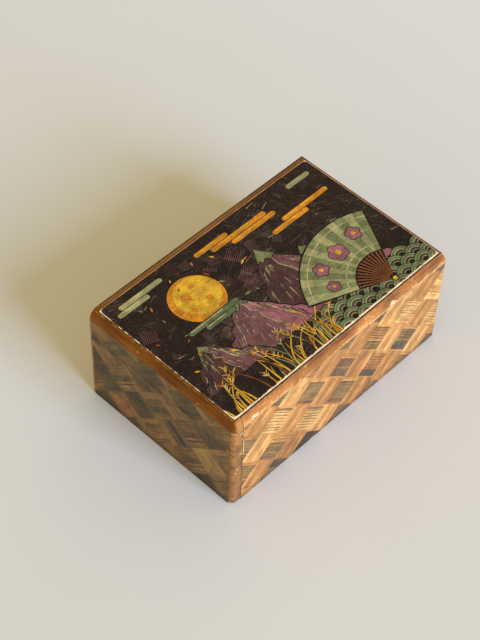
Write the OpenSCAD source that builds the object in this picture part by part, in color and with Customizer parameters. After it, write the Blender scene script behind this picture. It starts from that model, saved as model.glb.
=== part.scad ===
// Wooden puzzle box: a veneered case, a lid that slides along rails, and an end face
// made of two stacked panels that drop on guides before the lid is free.
// +X runs from the opening end to the closed end, -Y is the front long face, +Z is up.

/* [Box] */
// Length over both end faces
box_l = 120; // [95:1:160]
// Width over both long faces
box_w = 78.2; // [64:0.1:110]
// Height from the table to the top of the picture sheet
box_h = 51.5; // [42:0.1:75]
// Radius of the upright corners at the opening end
corner_r = 2.0; // [0.5:0.1:3]
// Radius of the upright corners at the closed end
far_corner_r = 0.5; // [0.2:0.1:1.2]

/* [Tapered band round the top] */
// Height of the band
band_h = 5.25; // [4.8:0.05:7]
// How far the band leans in, from its bottom to its top
band_run = 1.6; // [1:0.1:2.4]
// How far the band swells out of a straight taper at mid height
band_swell = 0.25; // [0:0.05:0.35]
// Flat top left on the band's ridge
ridge_w = 0.15; // [0.1:0.05:0.4]

/* [Boards and veneer] */
// Thickness of the front and back boards, under their veneer
side_board_t = 4.7; // [4.2:0.1:7]
// Thickness of the closed end's board, under its veneer
far_board_t = 4.7; // [4.2:0.1:7]
// Thickness of the bottom board
bottom_board_t = 4.2; // [2.5:0.1:8]
// Thickness of the marquetry veneer
veneer_t = 0.3; // [0.2:0.05:0.6]
// How far the marquetry reaches up into the band
veneer_lip = 0.3; // [0.1:0.05:0.6]
// Thickness of the plain veneer under the box
base_veneer_t = 0.3; // [0.2:0.05:0.6]
// How far the marquetry stops above the table
veneer_lift = 0.1; // [0.05:0.05:0.3]

/* [End panels] */
// Thickness of an end panel, under its veneer
panel_board_t = 4.5; // [4:0.1:6]
// Height of the upper end panel
upper_panel_h = 11; // [8:0.1:16]
// Joint between the upper and the lower end panel
seam_gap = 0.1; // [0.05:0.05:0.3]
// Gap between the end panels and the case behind them
panel_back_gap = 0.15; // [0.1:0.05:0.4]
// How far the lower end panel stops above the table
panel_foot_gap = 0.3; // [0.2:0.05:0.8]
// How far the end panels drop
panel_drop = 4; // [2:0.1:6]

/* [Guides behind the end panels] */
// Thickness of the fixed wall that the guides run in
inner_wall_t = 6.4; // [5.8:0.1:9]
// Distance between the two guides' centres
guide_spacing = 44; // [20:1:50]
// Width of a guide's neck
guide_neck_w = 3.8; // [2.5:0.1:6]
// Width of a guide's head
guide_head_w = 7.0; // [6.5:0.1:10]
// Thickness of a guide's head
guide_head_t = 1.6; // [1:0.1:2.2]
// Wood left in front of a guide's head
slot_lip_t = 1.6; // [1:0.1:1.8]
// Running clearance round a guide
guide_clear = 0.2; // [0.1:0.05:0.35]
// Height of the slots' floor over the base veneer
slot_floor_h = 2.6; // [1.5:0.1:6]
// Space left under the lower guide when the panels are down
guide_stop_gap = 0.1; // [0.05:0.05:0.3]
// Distance from each guide's ends to its panel's edges
guide_margin = 1.8; // [1:0.1:3]

/* [Lid] */
// Thickness of the picture sheet
sheet_t = 0.25; // [0.15:0.05:0.5]
// Running clearance under the lid
lid_clear = 0.1; // [0.05:0.05:0.2]
// Gap between the lid and the band along the front
lid_front_gap = 0.55; // [0.2:0.05:0.9]
// Gap between the lid and the band along the back
lid_back_gap = 0.15; // [0.1:0.05:0.6]
// Gap between the lid and the band at the closed end
lid_far_gap = 0.2; // [0.1:0.05:0.6]
// Bare wood between the ridge and the picture sheet at the opening end
sheet_near_margin = 0.75; // [0.2:0.05:1.5]
// Bare wood between the lid's front edge and the picture sheet
sheet_front_margin = 0.05; // [0:0.05:1]
// Bare wood between the lid's back edge and the picture sheet
sheet_back_margin = 2.1; // [0:0.05:3]
// Bare wood between the lid's far edge and the picture sheet
sheet_far_margin = 0.4; // [0:0.05:1.5]
// Radius of the picture sheet's corners
sheet_corner_r = 0.6; // [0.2:0.1:2]

/* [Lid rails] */
// Height of a rail's underside over the shoulder it stands on
rail_lift = 1.9; // [1.5:0.1:2.2]
// Height of a rail
rail_h = 1.4; // [0.8:0.1:1.6]
// How far a rail reaches into the lid's edge groove
rail_reach = 1.15; // [0.6:0.05:1.8]
// Running clearance round a rail
rail_clear = 0.15; // [0.1:0.05:0.3]

/* [Key studs] */
// Distance between the two studs' centres
stud_spacing = 62; // [52:1:66]
// Size of a stud along the box
stud_l = 2.4; // [1.5:0.1:3]
// Size of a stud across the box
stud_w = 5; // [3:0.1:6]
// Height of a stud over the upper end panel
stud_h = 1.4; // [0.8:0.1:1.8]
// Clearance round and over a stud
stud_clear = 0.3; // [0.2:0.05:0.5]

/* [Lid spline] */
// Length of the spline that joins the lid's end band to its board
spline_len = 40; // [20:1:44]
// Reach of the spline into each side of that joint
spline_reach = 1.6; // [1:0.1:2.2]
// Thickness of the spline
spline_t = 1.2; // [0.8:0.1:1.3]
// Height of the spline over the lid's underside
spline_lift = 2.6; // [2.4:0.1:2.8]
// Glue clearance round the spline
spline_clear = 0.05; // [0.02:0.01:0.1]

/* [Hidden] */
$fn = 48;
half_l = box_l / 2;
half_w = box_w / 2;
wood_top_z = box_h - sheet_t;
shoulder_z = wood_top_z - band_h;
veneer_top_z = shoulder_z + veneer_lip;
recess_in = band_run + ridge_w;
side_t = side_board_t + veneer_t;
far_t = far_board_t + veneer_t;
panel_t = panel_board_t + veneer_t;
panel_back_x = -half_l + panel_t;
case_x = panel_back_x + panel_back_gap;
wall_inner_x = case_x + inner_wall_t;
far_inner_x = half_l - far_t;
side_inner_y = half_w - side_t;
recess_x = half_l - recess_in;
recess_y = half_w - recess_in;
seam_z = shoulder_z - upper_panel_h;
slot_floor_z = base_veneer_t + slot_floor_h;
lid_z = shoulder_z + lid_clear;
lid_front_y = -recess_y + lid_front_gap;
lid_back_y = recess_y - lid_back_gap;
lid_far_x = recess_x - lid_far_gap;
rail_z = shoulder_z + rail_lift;
panel_sheet_half = half_w - corner_r;
stud_x = -half_l + veneer_t + panel_board_t / 2;
spline_z = lid_z + spline_lift;
band_steps = 8;
over = 1;

walnut_brown = [0.40, 0.22, 0.10];
honey_wood = [0.74, 0.55, 0.33];
pale_wood = [0.82, 0.70, 0.50];
mosaic_wood = [0.62, 0.46, 0.28];

// How far the outer face stands in at height h over the shoulder
function band_in(h) =
    let (u = h / band_h)
    band_run * u - 4 * band_swell * u * (1 - u);

// One flank of the band, from the shoulder up to the ridge
function flank(half) =
    [for (i = [0 : band_steps])
        let (h = band_h * i / band_steps)
        [half - band_in(h), shoulder_z + h]];

// The same points in turn from last to first, on the other side
function mirrored(points) =
    [for (i = [len(points) - 1 : -1 : 0]) [-points[i][0], points[i][1]]];

// A box given by its lowest and highest corners
module block(low, high) {
    translate(low) cube(high - low);
}

// Extrudes a section drawn across the box along its length
module along_x(x0, x1) {
    translate([x0, 0, 0]) rotate([90, 0, 90]) linear_extrude(x1 - x0) children();
}

// Extrudes a section drawn along the box across its width
module along_y(y0, y1) {
    translate([0, y1, 0]) rotate([90, 0, 0]) linear_extrude(y1 - y0) children();
}

// Upright section of the whole box with its tapered band
module tapered_section(half) {
    polygon(concat([[-half, 0], [half, 0]], flank(half), mirrored(flank(half))));
}

// A square corner less its quarter circle, with the round corner's centre at the origin
module corner_waste(r) {
    difference() {
        square(r + over);
        circle(r);
    }
}

// Outline of the box seen from above
module plan_outline() {
    difference() {
        translate([-half_l, -half_w]) square([box_l, box_w]);
        for (side = [-1, 1]) {
            translate([-half_l + corner_r, side * (half_w - corner_r)])
                scale([-1, side]) corner_waste(corner_r);
            translate([half_l - far_corner_r, side * (half_w - far_corner_r)])
                scale([1, side]) corner_waste(far_corner_r);
        }
    }
}

// The space inside the finished outer surface, which trims every outer piece
module outer_form() {
    intersection() {
        along_x(-half_l, half_l) tapered_section(half_w);
        along_y(-half_w, half_w) tapered_section(half_l);
        linear_extrude(wood_top_z) plan_outline();
    }
}

// Room for the lid between the ridges of the front, back and far boards
module lid_recess() {
    block([-half_l - over, -recess_y, shoulder_z], [recess_x, recess_y, box_h + over]);
}

// Room for the marquetry on the three fixed faces and for the base veneer
module veneer_waste() {
    for (side = [-1, 1])
        block([-half_l - over, side * half_w - veneer_t * (1 + side) / 2 - over * (1 - side) / 2, -over],
              [half_l + over, side * half_w + veneer_t * (1 - side) / 2 + over * (1 + side) / 2,
               veneer_top_z]);
    block([half_l - veneer_t, -half_w - over, -over], [half_l + over, half_w + over, veneer_top_z]);
    block([-half_l - over, -half_w - over, -over], [half_l + over, half_w + over, base_veneer_t]);
}

// One piece of the case's outer shell, between two corners
module case_piece(low, high) {
    difference() {
        intersection() {
            outer_form();
            block(low, high);
        }
        lid_recess();
        veneer_waste();
    }
}

module front_side_board() {
    color(walnut_brown)
        case_piece([case_x, -half_w, 0], [half_l, -side_inner_y, box_h]);
}

module back_side_board() {
    color(walnut_brown)
        case_piece([case_x, side_inner_y, 0], [half_l, half_w, box_h]);
}

module far_end_board() {
    color(walnut_brown)
        case_piece([far_inner_x, -side_inner_y, 0], [half_l, side_inner_y, box_h]);
}

// Upright slot for a guide: a narrow neck with a wider room for the head behind it
module guide_slot() {
    neck_half = guide_neck_w / 2 + guide_clear;
    head_half = guide_head_w / 2 + guide_clear;
    head_x = case_x + slot_lip_t;
    block([case_x - over, -neck_half, slot_floor_z], [head_x + over / 2, neck_half, box_h]);
    block([head_x, -head_half, slot_floor_z],
          [head_x + guide_head_t + 2 * guide_clear, head_half, box_h]);
}

module near_inner_wall() {
    color(honey_wood)
    difference() {
        block([case_x, -side_inner_y, base_veneer_t], [wall_inner_x, side_inner_y, shoulder_z]);
        for (side = [-1, 1])
            translate([0, side * guide_spacing / 2, 0]) guide_slot();
    }
}

module bottom_board() {
    color(honey_wood)
        block([wall_inner_x, -side_inner_y, base_veneer_t],
              [far_inner_x, side_inner_y, base_veneer_t + bottom_board_t]);
}

module base_veneer() {
    color(pale_wood)
    intersection() {
        linear_extrude(base_veneer_t) plan_outline();
        block([case_x, -half_w + veneer_t, 0], [half_l - veneer_t, half_w - veneer_t, base_veneer_t]);
    }
}

// A sheet of marquetry on one of the fixed faces, trimmed to the outer form
module face_sheet(low, high) {
    color(mosaic_wood)
    intersection() {
        outer_form();
        block(low, high);
    }
}

module front_marquetry() {
    face_sheet([case_x, -half_w, veneer_lift], [half_l, -half_w + veneer_t, veneer_top_z]);
}

module back_marquetry() {
    face_sheet([case_x, half_w - veneer_t, veneer_lift], [half_l, half_w, veneer_top_z]);
}

module far_marquetry() {
    face_sheet([half_l - veneer_t, -half_w + veneer_t, veneer_lift],
               [half_l, half_w - veneer_t, veneer_top_z]);
}

// Rail glued to the inner face of a band, which the lid's edge groove runs on
module front_lid_rail() {
    color(pale_wood)
        block([case_x, -recess_y, rail_z],
              [recess_x, lid_front_y + rail_reach, rail_z + rail_h]);
}

module back_lid_rail() {
    color(pale_wood)
        block([case_x, lid_back_y - rail_reach, rail_z],
              [recess_x, recess_y, rail_z + rail_h]);
}

// Grooves in the lid's long edges, a clearance larger than the rails
module rail_grooves() {
    low_z = rail_z - rail_clear;
    high_z = rail_z + rail_h + rail_clear;
    groove_d = rail_reach + rail_clear;
    block([panel_back_x - over, lid_front_y - over, low_z],
          [half_l, lid_front_y + groove_d, high_z]);
    block([panel_back_x - over, lid_back_y - groove_d, low_z],
          [half_l, lid_back_y + over, high_z]);
}

// Channels under the lid that the key studs stand in
module stud_channels() {
    for (side = [-1, 1])
        translate([0, side * stud_spacing / 2, 0])
            block([stud_x - stud_l / 2 - stud_clear, -stud_w / 2 - stud_clear, lid_z - over],
                  [half_l, stud_w / 2 + stud_clear, shoulder_z + stud_h + stud_clear]);
}

// The spline in the joint between the lid's board and its end band
module spline_form(clear) {
    block([panel_back_x - spline_reach - clear, -spline_len / 2 - clear, spline_z - clear],
          [panel_back_x + spline_reach + clear, spline_len / 2 + clear, spline_z + spline_t + clear]);
}

module lid_board() {
    color(honey_wood)
    difference() {
        block([panel_back_x, lid_front_y, lid_z], [lid_far_x, lid_back_y, wood_top_z]);
        rail_grooves();
        stud_channels();
        spline_form(spline_clear);
    }
}

module lid_near_band() {
    color(walnut_brown)
    difference() {
        intersection() {
            outer_form();
            block([-half_l, -half_w, lid_z], [panel_back_x, half_w, wood_top_z]);
        }
        stud_channels();
        spline_form(spline_clear);
    }
}

module lid_spline() {
    color(pale_wood) spline_form(0);
}

module lid_picture_sheet() {
    x0 = -half_l + recess_in - ridge_w + sheet_near_margin;
    x1 = lid_far_x - sheet_far_margin;
    y0 = lid_front_y + sheet_front_margin;
    y1 = lid_back_y - sheet_back_margin;
    r = sheet_corner_r;
    color([0.20, 0.14, 0.12])
    translate([0, 0, wood_top_z]) linear_extrude(sheet_t)
    difference() {
        translate([x0, y0]) square([x1 - x0, y1 - y0]);
        for (cx = [0, 1], cy = [0, 1])
            translate([cx == 0 ? x0 + r : x1 - r, cy == 0 ? y0 + r : y1 - r])
                scale([2 * cx - 1, 2 * cy - 1]) corner_waste(r);
    }
}

// Room for the marquetry on an end panel, which stops where the round corners start
module panel_veneer(z0, z1, past) {
    block([-half_l - past, -panel_sheet_half, z0 - past], [-half_l + veneer_t, panel_sheet_half, z1 + past]);
}

// Board of an end panel, between two heights, with its face cut back for the veneer
module panel_board(z0, z1) {
    color(honey_wood)
    difference() {
        intersection() {
            linear_extrude(box_h) plan_outline();
            block([-half_l, -half_w, z0], [panel_back_x, half_w, z1]);
        }
        panel_veneer(z0, z1, over);
    }
}

// Marquetry on the face of an end panel
module panel_sheet(z0, z1) {
    color(mosaic_wood) panel_veneer(z0, z1, 0);
}

// A pair of upright T guides on the back of an end panel
module guide_pair(z0, z1) {
    head_x = case_x + slot_lip_t + guide_clear;
    color(pale_wood)
    for (side = [-1, 1])
        translate([0, side * guide_spacing / 2, 0]) {
            block([panel_back_x, -guide_neck_w / 2, z0], [head_x, guide_neck_w / 2, z1]);
            block([head_x, -guide_head_w / 2, z0], [head_x + guide_head_t, guide_head_w / 2, z1]);
        }
}

module upper_panel() {
    panel_board(seam_z + seam_gap, shoulder_z);
}

module upper_marquetry() {
    panel_sheet(seam_z + seam_gap, shoulder_z);
}

module upper_guides() {
    guide_pair(seam_z + seam_gap + guide_margin, shoulder_z - guide_margin);
}

// Studs on the upper end panel that stand up into the lid's end band
module key_studs() {
    color(pale_wood)
    for (side = [-1, 1])
        translate([stud_x, side * stud_spacing / 2, 0])
            block([-stud_l / 2, -stud_w / 2, shoulder_z], [stud_l / 2, stud_w / 2, shoulder_z + stud_h]);
}

module lower_panel() {
    panel_board(panel_foot_gap, seam_z);
}

module lower_marquetry() {
    panel_sheet(panel_foot_gap, seam_z);
}

module lower_guides() {
    guide_pair(slot_floor_z + panel_drop + guide_stop_gap, seam_z - guide_margin);
}

front_side_board();
back_side_board();
far_end_board();
near_inner_wall();
bottom_board();
base_veneer();
front_marquetry();
back_marquetry();
far_marquetry();
front_lid_rail();
back_lid_rail();
lid_board();
lid_near_band();
lid_spline();
lid_picture_sheet();
upper_panel();
upper_marquetry();
upper_guides();
key_studs();
lower_panel();
lower_marquetry();
lower_guides();
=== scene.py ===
"""Looks of the wooden puzzle box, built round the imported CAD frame. Units in the code are mm."""

import math
import random
from contextlib import contextmanager
from functools import reduce

import bmesh
import bpy
from mathutils import Matrix, Vector, geometry, noise


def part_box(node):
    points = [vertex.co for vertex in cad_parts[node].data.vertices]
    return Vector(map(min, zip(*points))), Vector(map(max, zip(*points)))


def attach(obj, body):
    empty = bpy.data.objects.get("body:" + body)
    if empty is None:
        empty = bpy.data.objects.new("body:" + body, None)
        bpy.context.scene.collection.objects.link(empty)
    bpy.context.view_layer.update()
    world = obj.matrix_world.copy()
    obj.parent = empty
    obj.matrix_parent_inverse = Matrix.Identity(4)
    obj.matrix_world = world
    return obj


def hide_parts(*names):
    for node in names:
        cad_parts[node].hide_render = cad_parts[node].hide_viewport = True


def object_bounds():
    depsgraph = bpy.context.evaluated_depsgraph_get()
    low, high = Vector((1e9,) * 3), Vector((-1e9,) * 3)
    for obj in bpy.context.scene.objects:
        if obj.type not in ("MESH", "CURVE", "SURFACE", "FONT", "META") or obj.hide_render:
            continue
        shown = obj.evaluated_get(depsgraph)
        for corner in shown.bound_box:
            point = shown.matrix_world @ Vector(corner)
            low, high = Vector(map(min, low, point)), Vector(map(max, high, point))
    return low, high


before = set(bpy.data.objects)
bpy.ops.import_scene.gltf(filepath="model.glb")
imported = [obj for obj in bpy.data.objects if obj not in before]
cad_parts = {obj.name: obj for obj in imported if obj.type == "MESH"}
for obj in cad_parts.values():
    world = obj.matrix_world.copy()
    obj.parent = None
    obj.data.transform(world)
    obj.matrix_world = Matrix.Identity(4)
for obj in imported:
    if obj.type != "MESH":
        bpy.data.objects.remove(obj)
cad_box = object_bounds()

MM = 0.001

# Camera
CAMERA_AT = (-0.31813, -0.27399, 0.53471)
CAMERA_RIGHT = (0.69529, -0.71825, 0.02619)
CAMERA_UP = (0.54263, 0.54848, 0.63618)
CAMERA_FORWARD = (0.47130, 0.42812, -0.77110)
LENS, SENSOR = 93.337, 36

camera_data = bpy.data.cameras.new("camera")
camera_data.sensor_width = SENSOR
camera_data.lens = LENS
camera_data.clip_start = 0.01
camera_data.clip_end = 20
camera = bpy.data.objects.new("camera", camera_data)
bpy.context.scene.collection.objects.link(camera)
turn = Matrix((CAMERA_RIGHT, CAMERA_UP, [-c for c in CAMERA_FORWARD])).transposed()
camera.matrix_world = Matrix.Translation(CAMERA_AT) @ turn.to_4x4()
bpy.context.scene.camera = camera
bpy.context.scene.view_settings.view_transform = "Standard"

# Sizes, from the frame
HALF_L = cad_box[1].x / MM
HALF_W = cad_box[1].y / MM
WOOD_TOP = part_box("lid_picture_sheet")[0].z / MM
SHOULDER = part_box("upper_panel")[1].z / MM
BAND_H = WOOD_TOP - SHOULDER
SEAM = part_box("upper_panel")[0].z / MM
BAND_RUN, BAND_SWELL, RIDGE_W = 1.6, 0.25, 0.15
VENEER = 0.3
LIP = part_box("front_marquetry")[1].z / MM
CASE_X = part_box("front_side_board")[0].x / MM
PANEL_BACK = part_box("upper_panel")[1].x / MM
LID_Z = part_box("lid_board")[0].z / MM
SIDE_IN = -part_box("front_side_board")[1].y / MM
FAR_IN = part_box("far_end_board")[0].x / MM
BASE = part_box("front_side_board")[0].z / MM
VENEER_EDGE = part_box("upper_marquetry")[1].y / MM
CORNER_R = HALF_W - VENEER_EDGE
FAR_CORNER_R = 0.5


def spread(low, high, count):
    """Even steps from low to high, both included."""
    return [low + (high - low) * i / count for i in range(count + 1)]


def stations(low, high, step):
    """Places about a step apart from low to high, both included."""
    return spread(low, high, max(2, round((high - low) / step)))


def band_in(h):
    """How far the band's outer face stands in at height h over the shoulder."""
    u = min(1.0, max(0.0, h / BAND_H))
    return BAND_RUN * u - 4 * BAND_SWELL * u * (1 - u)


def srgb(r, g, b):
    """Linear colour of an sRGB colour written as 0 to 255."""
    return tuple((c / 12.92 if c <= 0.04045 else ((c + 0.055) / 1.055) ** 2.4)
                 for c in (r / 255, g / 255, b / 255))


# Node helpers
class Value:
    """A number or colour that a node gives. Numbers take ordinary arithmetic."""

    def __init__(self, graph, socket):
        self.graph, self.socket = graph, socket

    def __add__(self, other):
        return self.graph.math("ADD", self, other)

    def __sub__(self, other):
        return self.graph.math("SUBTRACT", self, other)

    def __rsub__(self, other):
        return self.graph.math("SUBTRACT", other, self)

    def __mul__(self, other):
        return self.graph.math("MULTIPLY", self, other)

    def __abs__(self):
        return self.graph.math("ABSOLUTE", self)


class Graph:
    """The nodes of a material or of the world, with short calls for the kinds used here.
    An input is given as a Value, a number or a tuple."""

    def __init__(self, owner):
        owner.use_nodes = True
        self.owner, self.tree = owner, owner.node_tree
        self.tree.nodes.clear()

    def put(self, value, socket):
        if isinstance(value, Value):
            self.tree.links.new(value.socket, socket)
        else:
            socket.default_value = (*value, 1) if socket.type == "RGBA" else value

    def node(self, kind, inputs, output=0, **props):
        """Adds a node with these inputs and properties, and returns one of its outputs."""
        made = self.tree.nodes.new("ShaderNode" + kind)
        for key, value in props.items():
            setattr(made, key, value)
        for key, value in inputs.items():
            self.put(value, made.inputs[key])
        return Value(self, made.outputs[output]) if len(made.outputs) else None

    def place(self, stretch, offset=(0, 0, 0), source=None):
        """Coordinates, of the object in mm unless a source is given, times stretch on each axis."""
        if source is None:
            source = self.node("TexCoord", {}, "Object")
            stretch = [s / MM for s in stretch]
        return self.node("Mapping", {"Vector": source, "Scale": stretch, "Location": offset})

    def position(self):
        """x, y and z in mm."""
        where = self.place((1, 1, 1))
        return [self.node("SeparateXYZ", {0: where}, axis) for axis in range(3)]

    def noise(self, stretch, detail, rough, distort=0.0, offset=(0, 0, 0), source=None):
        """Noise over the coordinates that place gives."""
        where = self.place(stretch, offset, source)
        return self.node("TexNoise", {"Vector": where, "Scale": 1.0, "Detail": detail,
                                      "Roughness": rough, "Distortion": distort}, "Fac")

    def math(self, kind, a, b=0.0):
        return self.node("Math", {0: a, 1: b}, operation=kind)

    def most(self, *values):
        return reduce(lambda a, b: self.math("MAXIMUM", a, b), values)

    def least(self, *values):
        return reduce(lambda a, b: self.math("MINIMUM", a, b), values)

    def ease(self, value, low, high, to_low=0.0, to_high=1.0):
        """Smooth step of value from low to high."""
        return self.node("MapRange", {0: value, 1: low, 2: high, 3: to_low, 4: to_high},
                         interpolation_type="SMOOTHSTEP")

    def mix(self, share, a, b, blend="MIX"):
        return self.node("Mix", {0: share, 6: a, 7: b}, 2, data_type="RGBA", blend_type=blend)

    def shade(self, colour, factor):
        """colour times a number."""
        return self.node("VectorMath", {0: colour, "Scale": factor}, operation="SCALE")

    def ramp(self, value, *stops):
        made = self.node("ValToRGB", {0: value})
        band = made.socket.node.color_ramp
        while len(band.elements) < len(stops):
            band.elements.new(0.5)
        for element, (at, colour) in zip(band.elements, stops):
            element.position = at
            element.color = (*colour, 1)
        return made

    def attribute(self, name, output="Fac"):
        return self.node("Attribute", {}, output, attribute_name=name)

    def finish(self, colour, rough, specular, relief, strength, depth_mm):
        """Ends a material. relief is its fine height, where 1 is depth_mm."""
        normal = self.node("Bump", {"Height": relief, "Strength": strength, "Distance": depth_mm * MM})
        shader = self.node("BsdfPrincipled", {"Base Color": colour, "Roughness": rough, "Normal": normal,
                                              "Specular IOR Level": specular})
        self.node("OutputMaterial", {"Surface": shader})
        return self.owner


# Woods
def wood(name, axis, colours, rough=0.42, specular=0.35, seed=0, mottle=0.14, stain=None, fleck=0.0,
         chipped=(238, 204, 152)):
    """Solid wood with its grain along an axis, in a deep, a base, a light and a bare colour.
    The mesh attributes 'worn' and 'chip' bare it."""
    g = Graph(bpy.data.materials.new(name))
    deep, base, light, raw = (srgb(*c) for c in colours)
    shift = (seed * 3.7, seed * 5.3, seed * 7.9)

    def grain(along, across, *settings):
        return g.noise([along if i == axis else across for i in range(3)], *settings, offset=shift)

    figure = grain(0.03, 0.42, 4, 0.55, 0.8)
    streak = grain(0.09, 2.6, 3, 0.6)
    pores = g.ease(grain(0.45, 8.5, 1, 0.5), 0.60, 0.72)
    cloud = g.noise((0.075, 0.075, 0.11), 3, 0.55, offset=shift)
    scuff = g.noise((0.55, 0.55, 0.8), 4, 0.7, offset=shift)
    colour = g.ramp(figure * 0.55 + streak * 0.45, (0.34, deep), (0.50, base), (0.66, light))
    colour = g.shade(colour, 1.0 - pores * 0.30)
    colour = g.shade(colour, g.ease(cloud, 0.3, 0.7, 1 - mottle, 1 + mottle))
    if stain:
        colour = stain(g, colour)
    bare = g.ease(g.attribute("worn") + scuff * 0.9, 0.80, 1.12)
    colour = g.mix(bare, colour, raw)
    if fleck:                                              # most flecks are low on the band
        up = g.position()[2]
        foot = g.ease(up, SHOULDER, SHOULDER + 3.0, 0.15, 0.0) - g.ease(up, LIP, SHOULDER + 0.05, 0.0, 0.34)
        crumb = g.noise((1.2, 1.2, 1.7), 3, 0.65, offset=shift)
        colour = g.mix(g.ease((cloud + scuff + crumb) * 0.54 + foot, 0.88, 0.96, 0.0, fleck), colour, raw)
    chip = g.ease(g.attribute("chip") + scuff * 0.25, 0.4, 0.62)
    colour = g.mix(chip, colour, srgb(*chipped))
    gloss = g.ease(scuff, 0.3, 0.75, rough - 0.07, rough + 0.12) + bare * 0.15
    relief = streak * 0.6 - pores * 0.7 + scuff * 0.8
    return g.finish(colour, gloss, specular, relief, 0.35, 0.06)


def bare_inside_and_ridge_shade(g, colour):
    """The band is darker towards its ridge, as painted shade, and the boards are bare inside the box."""
    up = g.position()[2]
    colour = g.mix(g.ease(up, SHOULDER - 0.8, SHOULDER - 1.6, 0.0, 0.8), colour, srgb(202, 162, 118))
    # painted shade: the band darkens from low on its face up to its ridge
    return g.shade(colour, g.ease(up, SHOULDER + 1.2, WOOD_TOP + 0.3, 1.06, 0.80))


def side_gap_shade(g, colour):
    """The long sides of the band are darkened along the gap beside the lid, as painted shade."""
    _, y, up = g.position()
    ridge_top = HALF_W - BAND_RUN
    # painted shade in the gap beside the lid, on the ridge's inner side above the shoulder
    gap_shade = g.most(g.ease(abs(y), ridge_top - 0.1, ridge_top + 0.06, 0.2, 1.0),
                  g.ease(up, SHOULDER, SHOULDER + 1.0, 1.0, 0.0))
    return g.shade(bare_inside_and_ridge_shade(g, colour), gap_shade)


def turned_end_light(g, colour):
    """The lid's end of the band is paler where it turns onto the long faces: painted light there, against
    the painted shade of its end face.
    """
    x, y, _ = g.position()
    # painted light where the end turns onto the long faces
    turned = g.ease(x, 1.1 - HALF_L, 2.4 - HALF_L, 0.0, 0.75) * g.ease(abs(y), HALF_W - 2.1, HALF_W - 1.1)
    return g.mix(turned, bare_inside_and_ridge_shade(g, colour), srgb(204, 142, 84))


def foot_and_joint_darkening(g, colour):
    """The panels' edges are darker towards the foot, and dark at the joint between them."""
    up = g.position()[2]
    return g.shade(colour, g.ease(abs(up - SEAM), 0.2, 1.4, 0.78, 1.0) * g.ease(up, 0.0, 16.0, 0.78, 1.04))


LACQUER = (0.38, 0.26, 0.12)             # what brown lacquer leaves of a colour
PRINT_BACK = 35.25                       # y just past the picture sheet's back edge
# Where the lid's board starts to be stained and where it is stained wholly: y, x and y, the front one also
# darkened as painted shade of the gap; and where the painted shade along the back gap starts and is whole: y
BACK_EDGE, FAR_EDGE, FRONT_EDGE, BACK_GAP_SHADE = (34.6, 34.9), (56.9, 57.2), (-36.2, -36.5), (36.6, 36.9)


def edge_lacquer_and_gap_shade(g, colour):
    """The lid's board is lacquered brown where its edges show, with painted shade along its rims at the gaps
    and a painted shadow beside the print's back edge.
    """
    x, y, _ = g.position()
    front = g.ease(y, *FRONT_EDGE)
    edge = g.most(g.ease(y, *BACK_EDGE), g.ease(x, *FAR_EDGE), front)
    colour = g.mix(edge, colour, LACQUER, "MULTIPLY")
    print_shadow = g.ease(abs(y - PRINT_BACK), 0.35, 0.15)
    # painted shade along the gaps at the lid's rims, and painted shadow beside the print's back edge
    gap_shade_rim = g.most(g.ease(y, *BACK_GAP_SHADE), print_shadow, front)
    return g.shade(colour, g.ease(gap_shade_rim, 0.0, 1.0, 1.0, 0.40))


RAW_WOOD = (230, 184, 122)
FRONT_BAND = ((140, 78, 30), (188, 115, 50), (210, 141, 70), RAW_WOOD)
BACK_BAND = ((104, 60, 22), (142, 86, 34), (164, 106, 50), RAW_WOOD)
# The lid's end of the band in darker colours: painted shade for the end face away from the lamp.
SHADED_NEAR_BAND = ((90, 50, 10), (124, 73, 17), (144, 90, 26), RAW_WOOD)
PANEL = ((112, 71, 40), (153, 104, 58), (180, 127, 76), (214, 164, 110))
PLAIN = ((160, 116, 74), (196, 150, 104), (214, 172, 126), (232, 198, 152))
PALE = ((196, 160, 114), (222, 188, 142), (234, 206, 166), (240, 216, 178))
front_band = wood("band_wood_x", 0, FRONT_BAND, 0.36, 0.4, 1, 0.34, side_gap_shade, 0.6)
back_band = wood("back_band_wood", 0, BACK_BAND, 0.36, 0.4, 10, 0.30, side_gap_shade, 0.45)
far_band = wood("far_band_wood", 1, BACK_BAND, 0.36, 0.4, 2, 0.30, bare_inside_and_ridge_shade, 0.45)
# painted shade: the lid's end of the band is the band's wood darkened
near_band_painted_shade = wood("shaded_near_band_wood", 1, SHADED_NEAR_BAND, 0.36, 0.08, 3, 0.2, turned_end_light, 0.0, (206, 156, 96))
panel_wood = wood("panel_wood", 1, PANEL, 0.48, 0.2, 4, 0.26, foot_and_joint_darkening, 0.12, (228, 192, 150))
plain_x = wood("plain_wood_x", 0, PLAIN, 0.62, 0.25, 5, 0.08)
plain_y = wood("plain_wood_y", 1, PLAIN, 0.62, 0.25, 6, 0.08)
pale_x = wood("pale_wood_x", 0, PALE, 0.60, 0.25, 7, 0.07)
pale_z = wood("pale_wood_z", 2, PALE, 0.60, 0.25, 8, 0.07)
lid_wood = wood("lid_wood", 0, PLAIN, 0.5, 0.25, 9, 0.10, edge_lacquer_and_gap_shade)


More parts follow.
